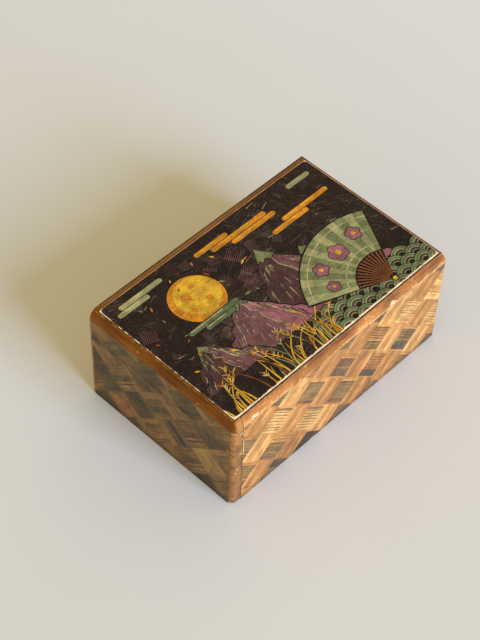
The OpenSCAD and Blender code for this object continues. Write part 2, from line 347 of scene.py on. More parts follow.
# Lacquered veneer and print
def marquetry_material(name, haze, thin, thick, raw, specular):
    """Veneers under old lacquer. Colour, grain direction and border distance come from the mesh.
    The lacquer clouds them with haze, from thin to thick."""
    g = Graph(bpy.data.materials.new(name))
    grain = g.attribute("grain", "Vector")
    streak = g.noise((0.16, 3.4, 1.0), 3, 0.6, source=grain)
    pores = g.ease(g.noise((0.7, 11.0, 1.0), 1, 0.5, source=grain), 0.60, 0.74)
    figure = g.noise((0.10, 0.7, 1.0), 3, 0.5, 0.6, source=grain)
    glint = g.noise((0.05, 0.9, 1.0), 3, 0.6, offset=(2, 8, 1), source=grain)
    cloud = g.noise((0.09, 0.09, 0.09), 4, 0.6, 0.3)
    blot = g.noise((0.17, 0.17, 0.17), 4, 0.65, 0.4, offset=(7, 3, 5))
    scuff = g.noise((0.6, 0.6, 0.6), 4, 0.7)
    up = g.position()[2]
    colour = g.shade(g.attribute("tone", "Color"), g.ease(streak, 0.28, 0.72, 0.66, 1.3))
    colour = g.shade(colour, g.ease(figure, 0.3, 0.7, 0.82, 1.16))
    colour = g.shade(colour, 1.0 - pores * 0.28)
    share = g.ease(cloud, 0.36, 0.66, thin, thick) + g.ease(up, 26, 46, 0.0, thin)
    colour = g.mix(share, colour, srgb(*haze))
    colour = g.shade(colour, g.ease(glint, 0.52, 0.70, 1.0, 1.22))
    colour = g.shade(colour, g.ease(blot, 0.36, 0.62, 0.76, 1.1))
    sides = g.attribute("margin", "Color")                 # distances from the sheet's four sides
    left, right, foot = (g.node("SeparateXYZ", {0: sides}, axis) for axis in range(3))
    nearest = g.least(left, right, foot, g.attribute("margin", "Alpha"))
    bare = g.ease(nearest + g.ease(scuff, 0.35, 0.7, 1.1, -0.5), 0.16, 0.02)
    colour = g.mix(bare * 0.6, colour, srgb(*raw))
    # darker near the sheet's foot and lower down the face
    foot_darkening = g.ease(foot + scuff * 3.0, 2.4, 6.0, 0.72, 1.0) * g.ease(up, 2, 34, 0.92, 1.0)
    colour = g.shade(colour, foot_darkening)
    gloss = g.ease(scuff, 0.3, 0.75, 0.34, 0.52)
    return g.finish(colour, gloss, specular, streak * 0.5 - pores * 0.6, 0.3, 0.05)


def scratches(g, angle, seed):
    """Fine straight scratches at one angle, in patches."""
    turned = g.node("VectorRotate", {"Vector": g.place((1, 1, 1)), "Angle": angle}, rotation_type="Z_AXIS")
    field = g.noise((0.045, 2.3, 1.0), 1, 0.4, offset=(seed, seed, 0), source=turned)
    patch = g.noise((0.05, 0.05, 0.05), 2, 0.5, offset=(seed * 2, 0, 0))
    return g.ease(abs(field - 0.5), 0.006, 0.0) * g.ease(patch, 0.50, 0.62)


def picture_material():
    """A printed sheet under scratched lacquer, its cut edge darkened as painted shade. Its inks come from
    the mesh.
    """
    g = Graph(bpy.data.materials.new("picture_sheet"))
    fibre = g.noise((1.3, 4.2, 1.0), 3, 0.65)
    blot = g.noise((0.22, 0.22, 0.22), 4, 0.6)
    speck = g.noise((3.1, 3.1, 1.0), 2, 0.6)
    hatch = g.noise((0.35, 5.0, 1.0), 2, 0.5, 0.4, offset=(3, 1, 0))
    colour = g.shade(g.attribute("tone", "Color"), g.ease(fibre, 0.3, 0.7, 0.80, 1.22))
    colour = g.shade(colour, g.ease(blot, 0.32, 0.68, 0.74, 1.26))
    colour = g.mix(g.ease(hatch, 0.54, 0.66, 0.0, 0.5), colour, srgb(28, 18, 14))
    colour = g.mix(g.ease(speck, 0.66, 0.74, 0.0, 0.5), colour, srgb(205, 190, 158))
    scratch = g.most(scratches(g, 0.5, 1.0), scratches(g, -0.35, 5.0), scratches(g, 1.1, 9.0))
    colour = g.mix(scratch * 0.5, colour, srgb(196, 172, 140))
    up = g.position()[2]
    # painted shade: the sheet's cut edge, below its top, is darkened
    colour = g.shade(colour, g.ease(up, WOOD_TOP + 0.08, WOOD_TOP + 0.2, 0.16, 1.0))
    gloss = g.ease(blot, 0.3, 0.7, 0.30, 0.44) + scratch * 0.3
    return g.finish(colour, gloss, 0.12, fibre * 0.4 - scratch, 0.25, 0.03)


marquetry = marquetry_material("marquetry", (200, 142, 80), 0.04, 0.26, RAW_WOOD, 0.2)
# The end faces' veneers, with darker, duller haze and bare wood: painted shade for the faces away from the
# lamp.
end_marquetry_painted_shade = marquetry_material("end_marquetry_painted_shade", (120, 93, 52), 0.10, 0.44, (150, 116, 74), 0.14)


# Mesh helpers
def add_object(name, data, material=None):
    if material:
        data.materials.append(material)
    obj = bpy.data.objects.new(name, data)
    bpy.context.scene.collection.objects.link(obj)
    return obj


def new_object(name, bm, material=None):
    mesh = bpy.data.meshes.new(name)
    bm.normal_update()
    bm.to_mesh(mesh)
    bm.free()
    return add_object(name, mesh, material)


@contextmanager
def editing(mesh):
    """Opens a mesh for changes and writes them back."""
    bm = bmesh.new()
    bm.from_mesh(mesh)
    yield bm
    bm.normal_update()
    bm.to_mesh(mesh)
    bm.free()


def keep(obj, body, slot, *nodes):
    """Puts a finished piece on its body, in place of its CAD nodes."""
    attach(obj, body)
    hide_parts(*nodes)


def smooth(obj, angle=40):
    obj.data.shade_smooth()
    obj.data.set_sharp_from_angle(angle=math.radians(angle))
    weighted = obj.modifiers.new("normals", "WEIGHTED_NORMAL")
    weighted.keep_sharp = True
    weighted.weight = 60


def cutter(*blocks):
    """Blocks, each given by its low and its high corner."""
    bm = bmesh.new()
    for low, high in blocks:
        for v in bmesh.ops.create_cube(bm, size=1.0)["verts"]:
            v.co = Vector([(a + b) / 2 + c * (b - a) for a, b, c in zip(low, high, v.co)]) * MM
    return new_object("cutter", bm)


def carve(obj, tool, operation="DIFFERENCE"):
    """Applies a boolean and removes its tool."""
    change = obj.modifiers.new("carve", "BOOLEAN")
    change.operation, change.solver, change.object = operation, "EXACT", tool
    bpy.context.view_layer.update()
    result = obj.evaluated_get(bpy.context.evaluated_depsgraph_get())
    made = bpy.data.meshes.new_from_object(result)
    obj.modifiers.clear()
    obj.data = made
    bpy.data.objects.remove(tool)


WIDE_ARRIS = 0.25


def soften(obj, arris, angle=40, wide=None):
    """Rounds the sharp edges, and before them those that wide(edge) picks, more widely."""
    with editing(obj.data) as bm:
        bmesh.ops.remove_doubles(bm, verts=bm.verts, dist=2e-6)

        def bevel(width, segments, picked):
            edges = [e for e in bm.edges
                     if e.is_manifold and e.calc_face_angle(0) > math.radians(angle) and picked(e)]
            bmesh.ops.bevel(bm, geom=edges, offset=width * MM, segments=segments, profile=0.5,
                            affect="EDGES", clamp_overlap=True)

        if wide:
            bevel(WIDE_ARRIS, 4, wide)
        bevel(arris, 2, lambda e: True)
        bmesh.ops.remove_doubles(bm, verts=bm.verts, dist=1e-6)


def slice_up(bm, axis, low, high, step, past_x=-HALF_L - 1):
    """Cuts the mesh, where it lies past past_x, into slices, so that its long edges can be worn."""
    normal = [float(i == axis) for i in range(3)]
    for at in stations(low, high, step)[1:-1]:
        verts = [v for v in bm.verts if v.co.x > past_x * MM]
        chosen = set(verts)
        parts = [part for part in bm.edges[:] + bm.faces[:] if chosen.issuperset(part.verts)]
        bmesh.ops.bisect_plane(bm, geom=verts + parts, dist=1e-7, plane_co=[n * at * MM for n in normal],
                               plane_no=normal)


BROAD = 1e-6                     # in square metres: a face this broad isn't a worn arris
DEEP_CHIP = 0.35                 # a chip this deep is an old, dirty dent that shows no pale wood


def wear(obj, depth, size, seed, chips=(), bared=lambda p: 1.0):
    """Wears the arrises in by up to depth, and sinks the chips: (x, y, z, radius, depth).
    bared(p) is how far the wear at a point has gone through the lacquer."""
    for name in ("worn", "chip"):
        obj.data.attributes.new(name, "FLOAT", "POINT")
    with editing(obj.data) as bm:
        bm.normal_update()
        worn, chip = (bm.verts.layers.float[name] for name in ("worn", "chip"))
        for v in bm.verts:
            n = v.normal
            bend = max(e.calc_face_angle(0) for e in v.link_edges)
            share = min(1.0, max(0.0, (bend - 0.25) * 3.5))
            if max(f.calc_area() for f in v.link_faces) > BROAD:
                share *= 0.2
            p = v.co / MM
            rough = 0.5 + noise.noise(p * size + Vector((seed, 0, 0))) + 0.5 * noise.noise(p * size * 3.1)
            move = depth * share * min(1.6, max(0.0, rough))
            v[worn] = share * bared(p)
            for x, y, z, radius, sink in chips:
                away = (p - Vector((x, y, z))).length
                away += radius * 0.35 * noise.noise(p * 1.4 + Vector((0, seed, x)))
                if away < radius:
                    level = 1 - away / radius
                    move += sink * min(1.0, level * 1.8)
                    if sink < DEEP_CHIP:
                        v[chip] = max(v[chip], min(1.0, level * 2.2))
            v.co -= n * move * MM


def sweep(name, rings, material=None):
    """A closed solid through rings of points, each with the same count, with flat caps."""
    bm = bmesh.new()
    rows = [[bm.verts.new(Vector(p) * MM) for p in ring] for ring in rings]
    count = len(rings[0])
    for a, b in zip(rows, rows[1:]):
        for i in range(count):
            j = (i + 1) % count
            bm.faces.new((a[i], a[j], b[j], b[i]))
    bm.faces.new(rows[0][::-1])
    bm.faces.new(rows[-1])
    bmesh.ops.recalc_face_normals(bm, faces=bm.faces)
    return new_object(name, bm, material)


# Inlay
GRID = 200                       # the points of an inlay lie on a grid of 1 / GRID mm
CUT_SQUARE, CELL_SQUARE = 300, 400       # sides, in grid steps, of the squares that sort cuts and cells


def on_grid(points):
    return [(round(u * GRID), round(v * GRID)) for u, v in points]


def box_of(points):
    """Lowest and highest x, then lowest and highest y."""
    return [end(p[c] for p in points) for c in (0, 1) for end in (min, max)]


def by_square(boxes, side):
    """The numbers of the boxes that meet each square."""
    near = {}
    for k, (x0, x1, y0, y1) in enumerate(boxes):
        for i in range(x0 // side, x1 // side + 1):
            for j in range(y0 // side, y1 // side + 1):
                near.setdefault((i, j), []).append(k)
    return near


def on_segment(a, b, p):
    """Whether p lies on the segment from a to b, between its ends."""
    if p == a or p == b:
        return False
    ux, uy, px, py = b[0] - a[0], b[1] - a[1], p[0] - a[0], p[1] - a[1]
    length = ux * ux + uy * uy
    return 0 < ux * px + uy * py < length and (ux * py - uy * px) ** 2 <= 0.8 * length


def crossing(a, b, c, d):
    """The grid point where two segments cross inside both, or None."""
    ux, uy, vx, vy, wx, wy = b[0] - a[0], b[1] - a[1], d[0] - c[0], d[1] - c[1], c[0] - a[0], c[1] - a[1]
    area = ux * vy - uy * vx
    if area:
        s, t = (wx * vy - wy * vx) / area, (wx * uy - wy * ux) / area
        if 0 < s < 1 and 0 < t < 1:
            return round(a[0] + ux * s), round(a[1] + uy * s)
    return None


def arrange(segments):
    """Splits segments between grid points until they meet only at their ends."""
    work = {tuple(sorted(s)) for s in segments if s[0] != s[1]}
    while True:
        listed, cuts, seen = sorted(work), {}, set()
        boxes = [box_of(s) for s in listed]
        for group in by_square(boxes, CUT_SQUARE).values():
            for n, k in enumerate(group):
                a, b = listed[k]
                left, right, low, high = boxes[k]
                for m in group[:n]:
                    x0, x1, y0, y1 = boxes[m]
                    if (x0 > right + 1 or x1 < left - 1 or y0 > high + 1 or y1 < low - 1
                            or (m, k) in seen):
                        continue
                    seen.add((m, k))
                    c, d = listed[m]
                    found = [(k, p) for p in (c, d) if on_segment(a, b, p)]
                    found += [(m, p) for p in (a, b) if on_segment(c, d, p)]
                    p = None if found else crossing(a, b, c, d)
                    if p:
                        found = [(e, p) for e in (k, m) if p not in listed[e]]
                    for e, p in found:
                        cuts.setdefault(e, set()).add(p)
        if not cuts:
            return listed
        for k, points in cuts.items():
            a, b = listed[k]
            work.remove((a, b))
            chain = [a, *sorted(points, key=lambda p: (p[0] - a[0]) ** 2 + (p[1] - a[1]) ** 2), b]
            work |= {tuple(sorted(s)) for s in zip(chain, chain[1:]) if s[0] != s[1]}


def triangulate(segments):
    """Triangles, as triples of grid points, between segments that meet only at their ends."""
    spots = sorted({p for s in segments for p in s})
    index = {p: i for i, p in enumerate(spots)}
    found = geometry.delaunay_2d_cdt([Vector(p) / GRID for p in spots],
                                     [(index[a], index[b]) for a, b in segments], [], 0, 1e-4, False)
    snapped = on_grid(found[0])
    return [tuple(snapped[i] for i in t) for t in found[2]]


def holds(outline, x, y):
    inside = False
    for (ax, ay), (bx, by) in zip(outline, outline[1:] + outline[:1]):
        if (ay > y) != (by > y) and x < ax + (y - ay) * (bx - ax) / (by - ay):
            inside = not inside
    return inside


def divide(cells, bends, window):
    """Triangles that fill the first cell, each with the number of the cell that shows there."""
    outlines = [on_grid(cell[0]) for cell in cells]
    boxes = [box_of(o) for o in outlines]
    u0, u1, v0, v1 = boxes[0]
    near = by_square([(max(u0, a), min(u1, b), max(v0, c), min(v1, d)) for a, b, c, d in boxes], CELL_SQUARE)

    def shown(triangle):
        x, y = (sum(p[c] for p in triangle) / 3 for c in (0, 1))
        held = [k for k in near.get((x // CELL_SQUARE, y // CELL_SQUARE), ())
                if boxes[k][0] <= x <= boxes[k][1] and boxes[k][2] <= y <= boxes[k][3]
                and holds(outlines[k], x, y)]
        if 0 not in held:
            return -1
        if window is None or window in held:
            return held[-1]
        return max(k for k in held if k < window)

    used = {k for group in near.values() for k in group}
    cuts = [(o[i - 1], o[i]) for k, o in enumerate(outlines) if k in used for i in range(len(o))]
    cuts = arrange(cuts + [tuple(on_grid(bend)) for bend in bends])
    triangles = [(t, shown(t)) for t in triangulate(cuts)]
    if not bends:                           # again, with only the cuts that show
        sides = {}
        for t, k in triangles:
            for i in range(3):
                sides.setdefault(tuple(sorted((t[i - 1], t[i]))), []).append(k)
        cuts = [s for s, owners in sides.items()
                if min(owners) != max(owners) or (len(owners) == 1 and owners[0] >= 0)]
        triangles = [(t, shown(t)) for t in triangulate(cuts)]
    return [(t, k) for t, k in triangles if k >= 0]


def inlay(name, cells, place, material, bends=(), window=None):
    """A thin closed sheet whose face is divided into the cells, each with its own wood or ink.

    cells are (outline in mm, colour, grain angle, seed); the first is the whole sheet, and later
    ones lie on earlier ones. place(u, v, depth) gives the point in the frame, depth 0 or 1.
    bends are further cuts that let the sheet bend. Cells from number 'window' on show inside it only."""
    triangles = divide(cells, bends, window)
    u0, u1, v0, v1 = box_of(on_grid(cells[0][0]))
    bm = bmesh.new()
    tone = bm.faces.layers.float_color.new("tone")
    grain = bm.loops.layers.float_vector.new("grain")
    margin = bm.loops.layers.float_color.new("margin")

    def corner(p, depth):
        return bm.verts.new(Vector(place(p[0] / GRID, p[1] / GRID, depth)) * MM)

    front = {p: corner(p, 0) for p in sorted({p for t, _ in triangles for p in t})}
    for t, k in triangles:
        _, colour, angle, seed = cells[k]
        face = bm.faces.new([front[p] for p in t])
        face[tone] = (*colour, 1)
        c, s = math.cos(angle), math.sin(angle)
        for loop, p in zip(face.loops, t):
            u, v = p[0] / GRID, p[1] / GRID
            loop[grain] = (u * c + v * s, -u * s + v * c, seed * 17.3)
            loop[margin] = [abs(a - b) / GRID for a, b in ((p[0], u0), (p[0], u1), (p[1], v0), (p[1], v1))]
    point_of = {v: p for p, v in front.items()}
    follow = {e.link_loops[0].vert: e.link_loops[0].link_loop_next.vert
              for e in bm.edges if len(e.link_faces) == 1}
    back = {v: corner(point_of[v], 1) for v in follow}
    sheet_colour = (*cells[0][1], 1)
    for a, b in follow.items():
        bm.faces.new((b, a, back[a], back[b]))[tone] = sheet_colour
    at = next(iter(follow))
    ring = []
    for _ in follow:
        ring.append(back[at])
        at = follow[at]
    bm.faces.new(ring[::-1])[tone] = sheet_colour
    bmesh.ops.recalc_face_normals(bm, faces=bm.faces)
    return new_object(name, bm, material)


# Case boards with their band
BAND_STEPS = 14                          # facets up the band's swelling face
SHARP_FROM = 32                          # degrees, on the case boards


def board_section(inner, outer):
    """Section of a case board with its band: points (distance from the box's middle, z)."""
    ridge = outer - BAND_RUN - RIDGE_W
    taper = [(outer - band_in(h), SHOULDER + h) for h in spread(LIP - SHOULDER, BAND_H, BAND_STEPS)[:-1]]
    return [(inner, BASE), (outer - VENEER, BASE), (outer - VENEER, LIP), *taper,
            (outer - BAND_RUN - 0.02, WOOD_TOP - 0.05), (outer - BAND_RUN - 0.07, WOOD_TOP),
            (ridge + 0.03, WOOD_TOP), (ridge, WOOD_TOP - 0.05), (ridge, SHOULDER), (inner, SHOULDER)]


def far_limit():
    """The space inside the band's taper at the closed end."""
    taper = [(HALF_L - band_in(h), SHOULDER + h) for h in spread(0, BAND_H, BAND_STEPS)]
    points = [(-100, -5), (HALF_L + 1, -5), (HALF_L + 1, SHOULDER), *taper,
              (HALF_L - BAND_RUN - 2, WOOD_TOP + 1), (-100, WOOD_TOP + 1)]
    return sweep("limit", [[(x, y, z) for x, z in points] for y in (-60, 60)])


def at_far_corner(edge):
    """Whether an edge runs up the band's outer corner at the closed end."""
    a, b = (v.co for v in edge.verts)
    return (min(a.z, b.z) > LIP * MM + 1e-5 and min(a.x, b.x) > (HALF_L - 2) * MM
            and min(abs(a.y), abs(b.y)) > (HALF_W - BAND_RUN - 0.02) * MM and abs(a.z - b.z) > 1e-4)


def side_board(side, name, material, chips=()):
    """The front board, with side -1, or the back board, with side 1."""
    section = board_section(SIDE_IN, HALF_W)
    board = sweep(name + "_worn", [[(x, side * y, z) for y, z in section]
                                   for x in stations(CASE_X, HALF_L + 0.5, 0.5)], material)
    y0, y1 = sorted((side * SIDE_IN, side * (HALF_W - BAND_RUN - 0.1)))
    mitre = cutter(((HALF_L - BAND_RUN - RIDGE_W, y0, SHOULDER - 1), (HALF_L + 0.5, y1, WOOD_TOP)))
    carve(board, mitre, "UNION")
    carve(board, far_limit(), "INTERSECT")
    carve(board, cutter(((HALF_L - VENEER, -50, -1), (HALF_L + 5, 50, LIP))))
    soften(board, 0.12, wide=at_far_corner)
    with editing(board.data) as bm:
        slice_up(bm, 1, -HALF_W, HALF_W, 0.5, HALF_L - 2)
    wear(board, 0.07, 0.35, 3 + side, chips, lambda p: 1.0 if p.y < 0 else 0.35)
    smooth(board, SHARP_FROM)
    keep(board, "case", "band_wood", name)


side_board(-1, "front_side_board", front_band,
           [(-48.9, -39.0, 46.9, 2.0, 0.26), (27.6, -38.9, 47.2, 1.5, 0.22), (29.4, -38.9, 46.7, 0.8, 0.16),
            (12.5, -38.0, 50.2, 0.45, 0.1), (-21.0, -37.9, 50.6, 0.4, 0.1), (3.5, -39.0, 46.6, 0.45, 0.1),
            (33.5, -38.9, 46.5, 0.5, 0.1), (38.0, -38.9, 46.4, 0.4, 0.1), (-3.0, -39.0, 46.5, 0.4, 0.1)])
side_board(1, "back_side_board", back_band)

far = sweep("far_end_board_worn", [[(x, y, z) for x, z in board_section(FAR_IN, HALF_L)]
                                   for y in stations(-SIDE_IN, SIDE_IN, 0.5)], far_band)
soften(far, 0.06)
wear(far, 0.07, 0.35, 9, bared=lambda p: 0.35)
smooth(far, SHARP_FROM)
keep(far, "case", "band_wood", "far_end_board")


# The lid's own end of the band
def rounded_end(inset, radius, back_x):
    """Plan of the opening end's outline, standing in by inset, from the front round to the back."""
    x0, w = -HALF_L + inset, HALF_W - inset
    front = [(x, -w) for x in spread(back_x, x0 + radius, 8)[:-1]]
    front += [(x0 + radius - radius * math.sin(a), -w + radius - radius * math.cos(a))
              for a in spread(0, math.pi / 2, 10)]
    end = [(x0, y) for y in spread(-w + radius, w - radius, 150)[1:-1]]
    return front + end + [(x, -y) for x, y in front[::-1]]


def near_band_blank():
    """The band's end before its pockets are cut. Its faces stand a little inside the CAD outline."""
    inside, foot_inside = 0.07, 0.17
    rings = [(h, band_in(h) + (inside if i else foot_inside), CORNER_R - 0.5 * h / BAND_H)
             for i, h in enumerate(spread(LID_Z - SHOULDER, BAND_H - 0.12, BAND_STEPS))]
    rings += [(BAND_H - 0.03, BAND_RUN + 0.12, 1.42), (BAND_H, BAND_RUN + 0.26, 1.3)]
    rings = [[(x, y, SHOULDER + h) for x, y in rounded_end(inset, radius, PANEL_BACK)]
             for h, inset, radius in rings]
    return sweep("lid_near_band_worn", rings, near_band_painted_shade)


STUD_Y, STUD_HALF, STUD_X0, STUD_TOP = 31, 2.8, -58.95, 47.7
SPLINE = ((-56.85, -20.05, 48.65), (-53.55, 20.05, 49.95))
pockets = [((STUD_X0, y - STUD_HALF, SHOULDER - 1), (-50, y + STUD_HALF, STUD_TOP))
           for y in (-STUD_Y, STUD_Y)]
band = near_band_blank()
carve(band, cutter(*pockets, SPLINE))
soften(band, 0.06, 45)
wear(band, 0.08, 0.4, 21, [(-59.6, -20, 47.2, 0.5, 0.06), (-59.3, 12, 48.6, 0.45, 0.05)],
     lambda p: 0.6 if p.z > 49 else 0.25)
smooth(band)
keep(band, "lid", "band_wood", "lid_near_band")


# End panels
def panel_plan():
    """Plan of an end panel's board. Its veneer stops where the round corners start."""
    corner = [(-HALF_L + CORNER_R * (1 - math.cos(a)), VENEER_EDGE + CORNER_R * math.sin(a))
              for a in spread(0, math.pi / 2, 10)]
    face = [(-HALF_L + VENEER, y) for y in spread(-VENEER_EDGE, VENEER_EDGE, 60)]
    return [(PANEL_BACK, -HALF_W), *((x, -y) for x, y in corner[::-1]), *face, *corner, (PANEL_BACK, HALF_W)]


def end_panel(name, body, *chips):
    low, high = (c.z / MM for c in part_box(name))
    board = sweep(name + "_worn", [[(x, y, z) for x, y in panel_plan()] for z in stations(low, high, 0.5)],
                  panel_wood)
    soften(board, 0.16)
    wear(board, 0.10, 0.5, 31, chips, lambda p: 0.15 if abs(p.z - SEAM) < 1 else 1.0)
    smooth(board)
    keep(board, body, "panel_wood", name)


end_panel("upper_panel", "upper_end_panel", (-57.0, -39.1, 46.1, 0.6, 0.14), (-55.3, -39.1, 43.6, 0.4, 0.1),
          (-55.5, -39.1, 40.2, 0.3, 0.08))
end_panel("lower_panel", "lower_end_panel", (-57.7, -39.1, 22.2, 0.55, 0.12), (-58.4, -39.0, 20.4, 0.4, 0.1),
          (-56.0, -39.1, 13.5, 0.4, 0.08), (-55.5, -39.1, 31.0, 0.4, 0.08), (-59.3, -38.5, -0.3, 2.6, 0.7))


# Marquetry
HALF_U, HALF_V = 9.45, 8.4               # half the length and the height of a woven lozenge
SLOPE = math.atan2(HALF_V, HALF_U)
WOODS = {
    "cream": (246, 204, 140), "pale": (234, 180, 108), "honey": (211, 149, 82), "tan": (185, 123, 67),
    "rose": (161, 104, 63), "walnut": (124, 86, 54), "umber": (100, 72, 46), "olive": (134, 107, 66),
    "moss": (108, 91, 59), "slate": (80, 72, 60), "ink": (58, 52, 50), "plum": (108, 74, 56),
    # sand, clay, loam, peat, soot and brick: the end faces' woods, darker and duller, partly their own
    # colour, partly painted shade
    "teal": (78, 84, 70), "grey": (113, 96, 68), "sand": (172, 136, 80), "clay": (152, 113, 68),
    "loam": (128, 100, 60), "peat": (98, 81, 52), "soot": (66, 60, 50), "brick": (156, 108, 70),
}


def wood_colour(kind, shade=1.0):
    return tuple(min(1.0, c * shade) for c in srgb(*WOODS[kind]))


# Widths and woods of a block's strips, side by side
RECIPES = {
    "lined": ".6 honey" + 7 * " 1 pale .3 umber" + " .5 pale 1.1 olive .7 honey",
    "olive": ".8 tan 1.5 plum" + 6 * " .85 olive .2 moss" + " .7 walnut .3 pale 1 honey",
    "purple": ".7 honey 3.3 slate .4 moss .3 tan 3.7 plum .3 pale 1.6 tan 1 honey",
    "green": ".7 honey 2.3 grey .4 olive" + 5 * " .9 moss .3 umber" + " .7 walnut .3 pale 1.4 honey",
    "fine": ".7 honey" + 8 * " .95 pale .2 walnut" + " .5 pale 1.3 tan",
    "grey": (".6 tan 2.6 grey .3 tan 2.2 moss .5 olive 1.6 walnut .3 pale" + 2 * " .9 honey .2 walnut"
             + " 1 honey"),
    "teal": ".7 honey 2.2 slate 1.5 teal .3 tan" + 4 * " .9 olive .3 umber" + " .4 pale 1.2 honey",
    "striped": (".7 honey" + 3 * " 1 olive .35 umber" + " .5 teal .3 pale" + 5 * " .9 tan .4 umber"
                + " .4 walnut 1.2 honey"),
    "slated": ".7 honey 3 slate .4 plum" + 6 * " .9 tan .35 walnut" + " 1.2 honey",
    "ink": ".3 tan 11.4 ink .3 tan",
    "mossy": "3.2 moss 4.4 olive 4.4 slate",
    "slate": ".4 tan 5.2 slate .3 olive 5.2 slate .5 tan",
    "brown": ".6 tan 3.2 walnut .3 honey" + 5 * " .9 olive .3 umber" + " 1.6 tan",
    "warm": ".3 pale 2.2 honey .2 rose 3 tan .2 pale 2.6 honey .2 tan 2.6 tan .3 walnut",
    "light": ".3 cream 2.4 pale .2 tan 3.2 honey 2.6 pale .2 tan 2.4 honey .3 rose",
    "rose": ".3 pale 2.8 tan .2 walnut 3 rose 2.6 tan .2 rose 2.4 honey .3 walnut",
    "dim": "2.6 loam .3 peat 2.8 clay .25 peat 2.4 loam .8 peat 2.6 clay",
    "streak": "1.6 loam" + 2 * " 1.1 clay .5 soot" + " 1.8 peat" + 3 * " 1 loam .4 peat",
    "dark": "1.2 peat 3.4 soot .5 peat 2.2 soot" + 2 * " .9 peat .5 soot",
    "patch": "2.4 loam 2.6 soot .4 loam 2.8 peat 2.6 clay",
    "brick": "1.6 clay 4 brick .3 loam 4.4 brick 1.2 loam",
    "sand": ".5 clay 2.8 sand .25 loam 4.2 sand .2 clay 2.8 sand",
}


def block_cells(cx, cy, falling, recipe, rng):
    """One woven block: strips of wood side by side along its grain."""
    words = RECIPES[recipe].split()
    left, top, foot = Vector((cx - HALF_U, cy)), Vector((cx, cy + HALF_V)), Vector((cx, cy - HALF_V))
    across, along = (top - left, foot - left) if falling else (foot - left, top - left)
    widths = [float(width) * rng.uniform(0.85, 1.15) for width in words[::2]]
    level = rng.uniform(0.93, 1.07)
    f = 0.0
    for width, kind in zip(widths, words[1::2]):
        g = f + width / sum(widths)
        colour = wood_colour(kind, level * rng.uniform(0.92, 1.08))
        a, b = left + across * f, left + across * g
        yield ([tuple(p) for p in (a, b, b + along, a + along)], colour, -SLOPE if falling else SLOPE,
               rng.uniform(0, 50))
        f = g


def oblong(x0, y0, x1, y1):
    return [(x0, y0), (x1, y0), (x1, y1), (x0, y1)]


def numbers(low, high, start, pitch):
    """Numbers of the blocks, a pitch apart from start, that cover low to high."""
    return range(math.floor((low - start) / pitch) - 1, math.ceil((high - start) / pitch) + 2)


def weave(sheet, origin, falling, rising, rng):
    """The cells of a sheet of basket weave, with its blocks named row by row from the foot."""
    cells = [(oblong(*sheet), wood_colour("honey"), 0.0, 1.0)]
    u0, v0, u1, v1 = sheet
    for j in numbers(v0, v1, origin[1], 2 * HALF_V):
        for i in numbers(u0, u1, origin[0], 2 * HALF_U):
            x, y = origin[0] + 2 * HALF_U * i, origin[1] + 2 * HALF_V * j
            for rows, falls, shift_x, shift_y in ((falling, True, 0, 0), (rising, False, HALF_U, HALF_V)):
                row = rows[j % len(rows)].split()
                cells += block_cells(x + shift_x, y + shift_y, falls, row[(i + 1) % len(row)], rng)
    return cells


FRONT_FALLING = ["rose mossy ink slate brown olive grey", "brown grey lined olive slated teal fine",
                 "brown lined olive purple striped fine light", "warm green rose grey brown light slate"]
FRONT_RISING = ["warm rose light warm warm light rose", "light warm warm rose light warm warm",
                "warm light warm warm light warm light", "rose warm light warm warm warm light"]
BACK_FALLING = ["ink brown slate green", "fine olive lined purple rose", "teal lined warm green grey"]
BACK_RISING = ["warm rose light", "light warm warm rose", "warm light warm"]
LOWER_FALLING = ["dim streak dim brick streak", "dim streak patch streak dark", "dim dark patch streak dim"]
LOWER_RISING = ["sand patch dark dark", "dark dim patch dim", "dark dim streak dark"]
UPPER_FALLING = ["dim dark dark patch", "streak dim dim dim"]
UPPER_RISING = ["patch dim streak dim", "dim streak dim patch"]


def woven_sheet(name, body, axis, side, origin, falling, rising, seed, material=marquetry):
    """The marquetry of an outer face that runs along the axis, on the side -1 or 1."""
    low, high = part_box(name)
    u0, v0, u1, v1 = low[axis] / MM, low.z / MM, high[axis] / MM, high.z / MM
    cells = weave((u0, v0, u1, v1), origin, falling, rising, random.Random(seed))
    bends = [((u0 - 1, SHOULDER), (u1 + 1, SHOULDER))]
    if axis == 0:                           # edgings, and the round corner at the closed end
        for a, b, low_v, high_v, kind in ((0, 0.22, v0, 29.0, "walnut"), (0.1, 0.5, 29.5, 38.5, "cream"),
                                          (0, 0.3, 41.5, 45.5, "cream")):
            cells.append((oblong(u0 + a, low_v, u0 + b, high_v), wood_colour(kind), math.pi / 2, 3.0))
        cells.append((oblong(14, v1 - 0.4, u1, v1), wood_colour("cream"), 0.0, 5.0))
        bends += [((u1 - d, v0 - 1), (u1 - d, v1 + 1)) for d in (0.5, 0.3, 0.15)]

    def place(u, v, depth):
        out = (HALF_W, HALF_L)[axis] - (VENEER if depth else band_in(v - SHOULDER))
        turned = u - HALF_L + FAR_CORNER_R
        if turned > 0 and not depth:
            out = min(out, HALF_W - FAR_CORNER_R + math.sqrt(max(0.0, FAR_CORNER_R ** 2 - turned ** 2)))
            out = max(out, HALF_W - VENEER + 0.02)
        return (side * out, u, v) if axis else (u, side * out, v)

    keep(inlay(name + "_woven", cells, place, material, bends), body, "marquetry", name)


woven_sheet("front_marquetry", "case", 0, -1, (-36.5, -0.7), FRONT_FALLING, FRONT_RISING, 11)
woven_sheet("back_marquetry", "case", 0, 1, (-36.5, -0.7), BACK_FALLING, BACK_RISING, 12)
woven_sheet("far_marquetry", "case", 1, 1, (4.0, 6.0), BACK_FALLING, BACK_RISING, 13)
woven_sheet("lower_marquetry", "lower_end_panel", 1, -1, (-17.35, 8.7), LOWER_FALLING, LOWER_RISING, 14,
            end_marquetry_painted_shade)
woven_sheet("upper_marquetry", "upper_end_panel", 1, -1, (-14.0, 41.0), UPPER_FALLING, UPPER_RISING, 15,
            end_marquetry_painted_shade)


